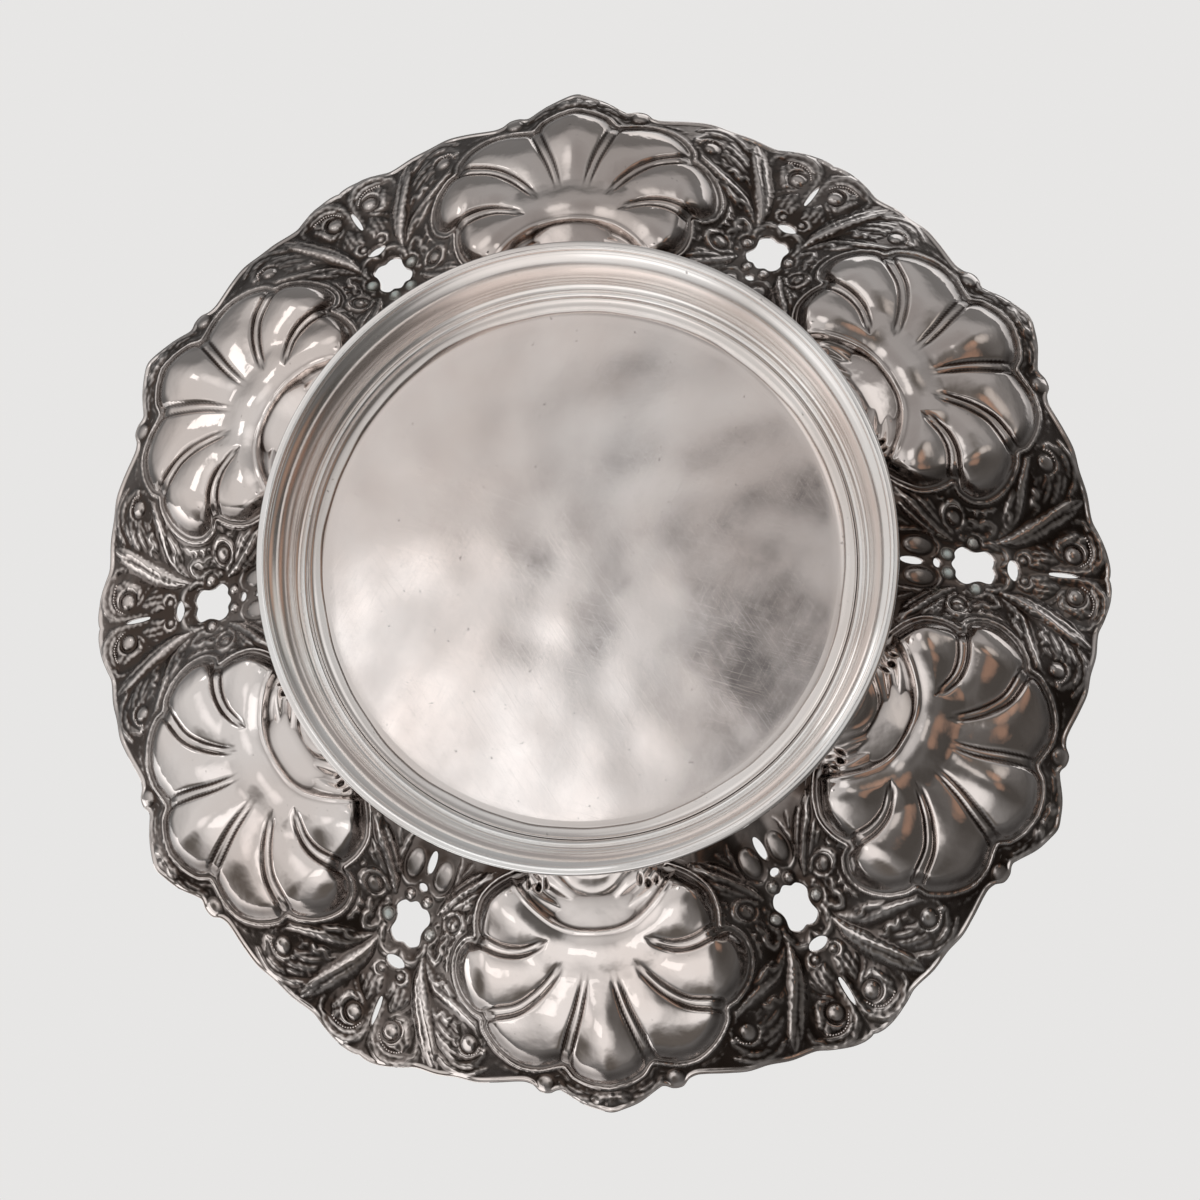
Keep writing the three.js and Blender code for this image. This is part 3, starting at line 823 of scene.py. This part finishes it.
def bowl_piece():
    radius, turn, removed = half_grid()
    height, depth = relief_height(radius, turn)
    under, top, edge = bowl_surfaces(radius, turn, height)
    quads, triangles, hub_start = bowl_faces(removed, len(under), len(top))
    floor_height = SEAT - WELL_DROP
    hubs = np.array([(0, 0, floor_height), (0, 0, floor_height + SHEET)])
    beads, bead_quads = bead_rows(hub_start + len(hubs))
    points = np.concatenate([part.reshape(-1, 3) for part in (under, top, edge, hubs, beads)])
    # Oxide of the underside, and painted shade in the shells' broad hollows and on their lobes' walls
    oxide = oxide_and_painted_shade(height, depth, curve_through(RIM_EDGE, turn) - radius)
    relief = smooth(NECK_RADIUS, NECK_RADIUS + FADE_WIDTH, radius)
    attributes = [
        ("oxide_and_painted_shade", bowl_values(oxide, top_tarnish(height), RIM_OXIDE, len(beads))),
        ("relief", bowl_values(relief, TOP_UNEVENNESS * relief, 1, len(beads))),
        ("residue", bowl_values(residue(radius, turn), 0 * relief, 0, len(beads))),
    ]
    return make_object("bowl_sheet", points, np.concatenate([quads, bead_quads]), triangles, attributes)


# Fineness of a bead, and the faces that close its outer pole
BEAD_RINGS = 5
BEAD_SIDES = 8
BEAD_CAP = [(3, 2, 1, 0), (7, 4, 3, 0), (7, 6, 5, 4)]


def bead_ball():
    """Points and faces of a ball of radius 1 with flat poles, open at the pole that sinks into the sheet."""
    tilt = math.pi * (np.arange(BEAD_RINGS)[:, None] + 0.5) / BEAD_RINGS
    spin = 2 * math.pi * np.arange(BEAD_SIDES) / BEAD_SIDES
    points = about_axis(np.sin(tilt), spin, -np.cos(tilt))
    quads = np.concatenate([ring_quads(BEAD_RINGS, BEAD_SIDES).reshape(-1, 4), BEAD_CAP])
    return points.reshape(-1, 3), quads


def bead_centres(spacing, stroke):
    """Middles of a row of beads on the relief of one half panel."""
    path = rounded_path(stroke, 12)
    lengths = np.concatenate([[0], np.cumsum(np.hypot(*(path[1:] - path[:-1]).T))])
    places = np.arange(0, lengths[-1], spacing)
    aside = np.interp(places, lengths, path[:, 0])
    out = np.interp(places, lengths, path[:, 1])
    radius = np.hypot(aside, out)[None, :]
    turn = (HALF_SECTOR - np.degrees(np.arctan2(aside, out)))[None, :]
    height, _ = relief_height(radius, turn)
    return (plain_points(radius, turn) - height[..., None] * UPWARD)[0]


def bead_rows(start):
    """Small half-sunk beads in rows on the ornament."""
    ball, ball_quads = bead_ball()
    points = []
    quads = []
    for size, spacing, stroke in BEAD_ROWS:
        centres = bead_centres(spacing, stroke)
        for place in range(2 * SECTORS):
            for centre in placed(centres, place // 2, place % 2):
                quads.append(ball_quads + start + len(points) * len(ball))
                points.append(centre + size * ball)
    return np.concatenate(points), np.concatenate(quads)


# Foot


def turned_object(name, outline, columns, wobble=None):
    """Ring turned from a closed outline of (radius, height), given anticlockwise."""
    radius, height = np.array(outline, float).T[..., None]
    row = np.arange(columns)
    angles = 2 * math.pi * row / columns
    if wobble is not None:
        radius = wobble(radius, angles)
    points = about_axis(radius, angles, height)
    closing = strip(row + (len(outline) - 1) * columns, row)
    quads = np.concatenate([ring_quads(len(outline), columns).reshape(-1, 4), closing])
    return make_object(name, points.reshape(-1, 3), quads)


# Inner face of the foot's wall, from the bowl down to the wire: radius and height
FOOT_FACE = [
    (46.4, 12.2), (46.42, 11.6), (46.6, 11.1), (47.0, 10.75), (47.35, 10.7), (47.55, 10.8), (47.75, 10.55),
    (48.15, 10.1), (48.45, 9.9), (48.6, 9.6), (48.65, 9.0), (48.85, 8.2), (49.0, 7.0), (49.25, 5.9),
    (49.55, 4.8), (49.95, 3.7), (50.45, 2.85), (51.1, 2.15), (51.6, 1.75), (51.95, 1.55), (52.1, 1.4),
]
# Sections of the base wire's two sides, from its inner radius and from the lip, and of the solder, from
# its outer radius: how far outward, and height
WIRE_INSIDE = [(0, WIRE_HEIGHT), (-0.02, 0.6), (0.03, 0.28), (0.14, 0.1), (0.3, 0.02), (0.42, 0)]
WIRE_OUTSIDE = [(-0.42, 0), (-0.25, 0.05), (-0.1, 0.18), (-0.02, 0.38), (0, 0.6), (0, WIRE_HEIGHT)]
SOLDER_SECTION = [
    (-2.1, 11.54), (-1.7, 11.48), (-1.2, 11.43), (-0.75, 11.33), (-0.4, 11.14), (-0.15, 10.9), (0, 10.7),
    (0, 12.3), (-0.6, 12.1), (-1.4, 11.76),
]
SOLDER_SINK = 0.06
# Uneven inner edge of the solder: waves round the foot, their size and start, and where they fade out
SOLDER_WAVES = [(3, 0.2, 0.4), (7, 0.16, 2.1), (13, 0.1, 4.4), (29, 0.05, 1.3)]
SOLDER_REACH = 2.2


def foot_outline():
    """The wall's inner face and, a sheet's thickness outward, its outer face."""
    inner = [np.array(point) for point in rounded_path(FOOT_FACE, 3)]
    outer = []
    for before, point, after in zip([inner[0]] + inner[:-1], inner, inner[1:] + [inner[-1]]):
        along = (after - before) / max(np.linalg.norm(after - before), 1e-9)
        outer.append(point + np.array([-along[1], along[0]]) * FOOT_SHEET)
    outer[0] = np.array([NECK_RADIUS + FOOT_SHEET, SEAT - JOINT_GAP])
    outer[-1] = np.array([LIP_RADIUS - 0.1, WIRE_HEIGHT + JOINT_GAP])
    return inner + outer[::-1]


def section(radius, points):
    """Outline of (radius, height), from points given as how far outward of the radius, and height."""
    return [(radius + out, height) for out, height in points]


def solder_wobble(radius, angles):
    waves = sum(size * np.sin(count * angles + start) for count, size, start in SOLDER_WAVES)
    return radius - np.clip((NECK_RADIUS - radius) / SOLDER_REACH, 0, 1) * waves


bowl = bowl_piece()
foot = turned_object("foot_wall", foot_outline(), FOOT_COLUMNS)
wire_outline = section(LIP_RADIUS - WIRE_WIDTH, WIRE_INSIDE) + section(LIP_RADIUS, WIRE_OUTSIDE)
wire = turned_object("foot_wire", wire_outline, FOOT_COLUMNS)
solder_outline = section(NECK_RADIUS - SOLDER_SINK, SOLDER_SECTION)
solder = turned_object("foot_solder", solder_outline, 2 * FOOT_COLUMNS, solder_wobble)


# Materials


def cleared_tree(owner, output):
    """Node tree of a material or world, with nothing in it but its output."""
    owner.use_nodes = True
    owner.node_tree.nodes.clear()
    return owner.node_tree, owner.node_tree.nodes.new(output)


def new_material(name):
    material = bpy.data.materials.new(name)
    return material, *cleared_tree(material, "ShaderNodeOutputMaterial")


def set_inputs(tree, node, inputs):
    """Set a node's inputs. Each is a plain value, or another node's output to link."""
    for label, value in inputs.items():
        socket = node.inputs[label]
        if isinstance(value, bpy.types.NodeSocket):
            tree.links.new(value, socket)
        elif socket.type == "RGBA":
            socket.default_value = (*value, 1.0)
        else:
            socket.default_value = value
    return node.outputs


def new_node(tree, kind, inputs):
    return set_inputs(tree, tree.nodes.new(kind), inputs)


def noise(tree, vector, scale, detail=3.0, roughness=0.5):
    inputs = {"Vector": vector, "Scale": scale, "Detail": detail, "Roughness": roughness}
    return new_node(tree, "ShaderNodeTexNoise", inputs)["Fac"]


def ranged(tree, value, low, high, to_low, to_high):
    inputs = {"Value": value, "From Min": low, "From Max": high, "To Min": to_low, "To Max": to_high}
    return new_node(tree, "ShaderNodeMapRange", inputs)["Result"]


def maths(tree, operation, first, second):
    node = tree.nodes.new("ShaderNodeMath")
    node.operation = operation
    return set_inputs(tree, node, {0: first, 1: second})["Value"]


def product(tree, first, second):
    return maths(tree, "MULTIPLY", first, second)


def mixed_colour(tree, share, first, second):
    node = tree.nodes.new("ShaderNodeMix")
    node.data_type = "RGBA"
    return set_inputs(tree, node, {"Factor": share, "A": first, "B": second})["Result"]


def attribute(tree, label):
    node = tree.nodes.new("ShaderNodeAttribute")
    node.attribute_name = label
    return node.outputs["Fac"]


def stretched(tree, vector, size, spin=0.0):
    """Coordinates turned by spin and then divided by size along each axis."""
    node = tree.nodes.new("ShaderNodeMapping")
    node.vector_type = "TEXTURE"
    return set_inputs(tree, node, {"Vector": vector, "Scale": size, "Rotation": (0.0, 0.0, spin)})["Vector"]


def bumped(tree, height, strength, distance, normal=None):
    inputs = {"Height": height, "Strength": strength, "Distance": distance}
    if normal is not None:
        inputs["Normal"] = normal
    return new_node(tree, "ShaderNodeBump", inputs)["Normal"]


def scratches(tree, vector, spin, length, width):
    """Fine straight scratches: noise drawn out along one direction, kept only at its peaks."""
    drawn = noise(tree, stretched(tree, vector, (length, width, length), spin), 1.0, 2.0)
    return ranged(tree, drawn, 0.62, 0.72, 0.0, 1.0)


def turning_marks(tree, vector, spacing):
    """Rings of fine turning lines about the dish's axis."""
    split = new_node(tree, "ShaderNodeSeparateXYZ", {"Vector": vector})
    square = maths(tree, "ADD", maths(tree, "POWER", split["X"], 2.0), maths(tree, "POWER", split["Y"], 2.0))
    out = product(tree, maths(tree, "SQRT", square, 0.0), 1 / spacing)
    up = product(tree, split["Z"], 1 / spacing)
    return noise(tree, new_node(tree, "ShaderNodeCombineXYZ", {"X": out, "Y": up})["Vector"], 1.0, 3.0, 0.6)


# Colours in the silver: warm clouds as a share of its own colour, oxide, which on the bowl's shells also
# stands for painted shade, and dried polish
PALE_SHARE = 1.04
WARM_SHARE = (0.93, 0.88, 0.852)
OXIDE_AND_SHADE_COLOUR = (0.07, 0.051, 0.042)
RESIDUE_COLOUR = (0.66, 0.74, 0.70)
# Roughness of the silver where it is least and most smeared, and what oxide and dried polish add
GLOSSY = 0.09
SMEARED = 0.22
OXIDE_ROUGHNESS = 0.16
RESIDUE_ROUGHNESS = 0.4
# Share of the plain silver's waves and of its roughness that the ornament has
RELIEF_WAVES = 0.35
RELIEF_ROUGHNESS = 0.6
# Fine scratches: direction and length, and their width
SCRATCHES = [(0.5, 0.012), (1.9, 0.009), (2.6, 0.016)]
SCRATCH_WIDTH = 0.00012
TURNING_SPACING = 0.00035


def calmed(tree, value, share):
    """The value, down to a share of itself on the ornament."""
    return product(tree, value, ranged(tree, attribute(tree, "relief"), 0.0, 1.0, 1.0, share))


def silver_oxide_and_shade(tree, specks, smears, tarnished):
    """Share of oxide: specks everywhere, and in the bowl its hollows too, together with the shade painted on
    the bowl's shells.
    """
    spots = ranged(tree, specks, 0.72, 0.8, 0.0, 0.5)
    if not tarnished:
        return spots
    uneven_oxide_and_shade = product(tree, attribute(tree, "oxide_and_painted_shade"), ranged(tree, smears, 0.3, 0.7, 0.75, 1.15))
    return maths(tree, "MAXIMUM", maths(tree, "MINIMUM", uneven_oxide_and_shade, 1.0), product(tree, spots, 0.6))


def silver_normal(tree, where, specks, turned, tarnished):
    """Normal with the soft waves of hand polish, small dents in the ornament, scratches and turning lines."""
    waves = noise(tree, where, 48.0, 1.2, 0.45)
    if tarnished:
        waves = calmed(tree, waves, RELIEF_WAVES)
    normal = bumped(tree, waves, 0.35, 0.0013)
    if tarnished:
        dents = product(tree, noise(tree, where, 210.0, 2.5, 0.5), attribute(tree, "relief"))
        normal = bumped(tree, dents, 0.3, 0.0005, normal)
    for spin, length in SCRATCHES:
        normal = bumped(tree, scratches(tree, where, spin, length, SCRATCH_WIDTH), 0.03, 0.00003, normal)
    if turned:
        normal = bumped(tree, turning_marks(tree, where, TURNING_SPACING), 0.25, 0.00003, normal)
    return bumped(tree, specks, 0.05, 0.00005, normal)


def silver(name, colour, turned=False, tarnished=False, dull=0.0):
    """Old polished silver with smears, oxide, painted shade on the bowl's shells, and on the bowl's bosses a
    little dried polish.
    """
    material, tree, output = new_material(name)
    where = new_node(tree, "ShaderNodeTexCoord", {})["Object"]
    clouds = noise(tree, where, 28.0, 4.0, 0.55)
    smears = noise(tree, stretched(tree, where, (1.0, 0.7, 1.0), 0.6), 60.0, 4.0, 0.55)
    specks = noise(tree, where, 900.0, 2.0)
    pale = tuple(min(1.0, part * PALE_SHARE) for part in colour)
    warm = tuple(part * share for part, share in zip(colour, WARM_SHARE))
    # On the bowl this share of oxide also holds the shade painted on its shells
    oxide = silver_oxide_and_shade(tree, specks, smears, tarnished)
    base = mixed_colour(tree, ranged(tree, clouds, 0.35, 0.68, 0.0, 1.0), pale, warm)
    base = mixed_colour(tree, oxide, base, OXIDE_AND_SHADE_COLOUR)
    gloss = ranged(tree, smears, 0.3, 0.75, GLOSSY + dull, SMEARED + dull)
    rough = maths(tree, "ADD", gloss, product(tree, oxide, OXIDE_ROUGHNESS))
    metal = 1.0
    if tarnished:
        rough = calmed(tree, rough, RELIEF_ROUGHNESS)
        chalky = product(tree, attribute(tree, "residue"), ranged(tree, clouds, 0.5, 0.56, 0.0, 1.0))
        base = mixed_colour(tree, chalky, base, RESIDUE_COLOUR)
        rough = maths(tree, "ADD", rough, product(tree, chalky, RESIDUE_ROUGHNESS))
        metal = maths(tree, "SUBTRACT", 1.0, chalky)
    normal = silver_normal(tree, where, specks, turned, tarnished)
    inputs = {"Base Color": base, "Metallic": metal, "Roughness": rough, "Normal": normal}
    shader = new_node(tree, "ShaderNodeBsdfPrincipled", inputs)
    tree.links.new(shader["BSDF"], output.inputs["Surface"])
    return material


def dress(piece, material, node):
    piece.data.materials.append(material)
    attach(piece, "root")
    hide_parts(node)


BOWL_SILVER = (0.875, 0.824, 0.80)
FOOT_SILVER = (0.97, 0.955, 0.945)
SOLDER_SILVER = (0.9, 0.87, 0.85)

dress(bowl, silver("stamped silver", BOWL_SILVER, tarnished=True), "bowl")
dress(foot, silver("spun silver", FOOT_SILVER, turned=True), "foot_ring")
dress(wire, silver("wire silver", FOOT_SILVER, turned=True), "foot_base_wire")
dress(solder, silver("solder silver", SOLDER_SILVER, dull=0.06), "foot_solder_seam")


# Floor, surroundings, lamps and camera

# Grey level of the surroundings by height of the direction, from straight down to straight up
SKY = [
    (-1.0, 0.54), (-0.8, 0.44), (-0.4, 0.37), (0.0, 0.36), (0.08, 0.34), (0.24, 0.17), (0.62, 0.19),
    (0.80, 0.28), (0.92, 0.80),
]
# Grey that lights what doesn't mirror
FILL = (0.5, 0.5, 0.5)

# Soft zones in the surroundings, most of them below the horizon, a later one over an earlier one:
# direction, core and reach in degrees, and colour
ZONES = [
    ((0.0, -0.85, -0.50), 30, 75, (0.68, 0.67, 0.66)),
    ((-0.30, 0.90, -0.12), 12, 60, (0.07, 0.065, 0.06)),
    ((0.28, 0.84, -0.46), 8, 27, (0.13, 0.12, 0.11)),
    ((-0.86, -0.08, -0.50), 14, 38, (0.90, 0.89, 0.88)),
    ((-0.35, -0.80, -0.48), 4, 16, (0.98, 0.96, 0.95)),
    ((-0.43, 0.55, -0.72), 5, 24, (0.11, 0.105, 0.10)),
    ((0.31, -0.23, -0.93), 4, 14, (0.70, 0.69, 0.685)),
    ((0.156, -0.030, -0.987), 1.5, 4.2, (0.04, 0.038, 0.04)),
    ((0.141, -0.049, -0.989), 0.9, 2.8, (0.05, 0.048, 0.05)),
    ((0.35, 0.92, -0.18), 3, 13, (0.56, 0.53, 0.50)),
    ((0.68, 0.28, -0.62), 8, 32, (0.31, 0.30, 0.295)),
    ((0.68, -0.38, -0.63), 8, 20, (0.87, 0.86, 0.85)),
    ((0.36, 0.38, -0.85), 8, 14, (0.92, 0.91, 0.90)),
    ((0.0, 0.60, -0.80), 4, 11, (0.64, 0.62, 0.60)),
    ((-0.20, 0.90, -0.38), 4, 14, (0.30, 0.195, 0.145)),
    ((0.16, 0.88, -0.44), 1, 12, (0.42, 0.28, 0.21)),
    ((-0.62, -0.77, 0.12), 6, 20, (0.12, 0.11, 0.10)),
    ((-0.98, 0.10, 0.12), 6, 20, (0.12, 0.11, 0.10)),
]


# Area lamps, all aimed at the dish: name, place, width and height in metres, and power in watts
LAMPS = [
    ("softbox below", (0.07, -0.09, -0.72), 0.09, 0.14, 0.027),
    ("side below", (-0.75, -0.35, -0.55), 0.5, 0.3, 0.16),
    ("far side below", (0.55, -0.75, -0.25), 0.25, 0.25, 0.14),
    ("softbox above", (-0.68, -0.93, 1.08), 1.6, 1.2, 6.0),
    ("side above", (0.75, 0.45, 1.05), 1.3, 1.1, 3.3),
]

FLOOR_SIZE = 6.0
FLOOR_HEIGHT = -0.0003
FLOOR_COLOUR = (0.87, 0.86, 0.845)


def mixed_shader(tree, output, share, first, second):
    mix = new_node(tree, "ShaderNodeMixShader", {"Fac": share, 1: first, 2: second})
    tree.links.new(mix["Shader"], output.inputs["Surface"])


def floor():
    """Pale floor that only cameras above it see, so that the underside can be viewed and lit from below."""
    bpy.ops.mesh.primitive_plane_add(size=FLOOR_SIZE, location=(0.0, 0.0, FLOOR_HEIGHT))
    plane = bpy.context.object
    plane.name = "floor"
    material, tree, output = new_material("pale floor")
    paint = new_node(tree, "ShaderNodeBsdfPrincipled", {"Base Color": FLOOR_COLOUR, "Roughness": 0.8})
    clear = new_node(tree, "ShaderNodeBsdfTransparent", {})
    back = new_node(tree, "ShaderNodeNewGeometry", {})["Backfacing"]
    rays = new_node(tree, "ShaderNodeLightPath", {})
    shown = product(tree, maths(tree, "SUBTRACT", 1.0, back), rays["Is Camera Ray"])
    mixed_shader(tree, output, shown, clear["BSDF"], paint["BSDF"])
    plane.data.materials.append(material)


def sky_colour(tree, way):
    """Grey of the surroundings by the height of the direction."""
    height = new_node(tree, "ShaderNodeSeparateXYZ", {"Vector": way})["Z"]
    ramp = tree.nodes.new("ShaderNodeValToRGB")
    stops = ramp.color_ramp.elements
    while len(stops) < len(SKY):
        stops.new(0.5)
    for stop, (level_height, level) in zip(stops, SKY):
        stop.position = (level_height + 1) / 2
        stop.color = (level, level * 0.99, level * 0.98, 1.0)
    return set_inputs(tree, ramp, {"Fac": ranged(tree, height, -1.0, 1.0, 0.0, 1.0)})["Color"]


def zone_share(tree, way, direction, core, reach):
    """1 within core degrees of the direction, falling to 0 at reach degrees."""
    node = tree.nodes.new("ShaderNodeVectorMath")
    node.operation = "DOT_PRODUCT"
    towards = set_inputs(tree, node, {0: way, 1: Vector(direction).normalized()})["Value"]
    edge, middle = (math.cos(math.radians(angle)) for angle in (reach, core))
    return ranged(tree, towards, edge, middle, 0, 1)


def surroundings():
    """Studio for the silver to mirror, pale overhead and grey elsewhere, with broad soft zones."""
    world = bpy.data.worlds.new("studio")
    bpy.context.scene.world = world
    tree, output = cleared_tree(world, "ShaderNodeOutputWorld")
    way = new_node(tree, "ShaderNodeTexCoord", {})["Generated"]
    seen = sky_colour(tree, way)
    for direction, core, reach, colour in ZONES:
        seen = mixed_colour(tree, zone_share(tree, way, direction, core, reach), seen, colour)
    shown = new_node(tree, "ShaderNodeBackground", {"Color": seen})
    fill = new_node(tree, "ShaderNodeBackground", {"Color": FILL})
    rays = new_node(tree, "ShaderNodeLightPath", {})
    mirrored = maths(tree, "MAXIMUM", rays["Is Camera Ray"], rays["Is Glossy Ray"])
    mirrored = maths(tree, "MAXIMUM", mirrored, rays["Is Transmission Ray"])
    mixed_shader(tree, output, mirrored, fill["Background"], shown["Background"])


def lamp(name, place, width, height, power):
    light = bpy.data.lights.new(name, "AREA")
    light.shape = "RECTANGLE"
    light.size = width
    light.size_y = height
    light.energy = power
    item = new_object(name, light)
    item.location = place
    item.rotation_euler = (-Vector(place)).to_track_quat("-Z", "Y").to_euler()


def camera():
    forward = Vector(CAMERA_FORWARD).normalized()
    up = Vector((math.cos(CAMERA_ROLL), math.sin(CAMERA_ROLL), 0.0))
    up = (up - forward * up.dot(forward)).normalized()
    right = forward.cross(up)
    data = bpy.data.cameras.new("camera")
    data.lens = CAMERA_LENS
    data.sensor_width = 36.0
    data.sensor_fit = "HORIZONTAL"
    data.clip_start = 0.01
    data.clip_end = 50.0
    item = new_object("camera", data)
    place = (Vector(CAMERA_TARGET) - forward * CAMERA_DISTANCE) * MM
    turn = Matrix((right, up, -forward)).transposed()
    item.matrix_world = Matrix.Translation(place) @ turn.to_4x4()
    bpy.context.scene.camera = item


floor()
surroundings()
for settings in LAMPS:
    lamp(*settings)
camera()

bpy.context.scene.view_settings.view_transform = "Standard"
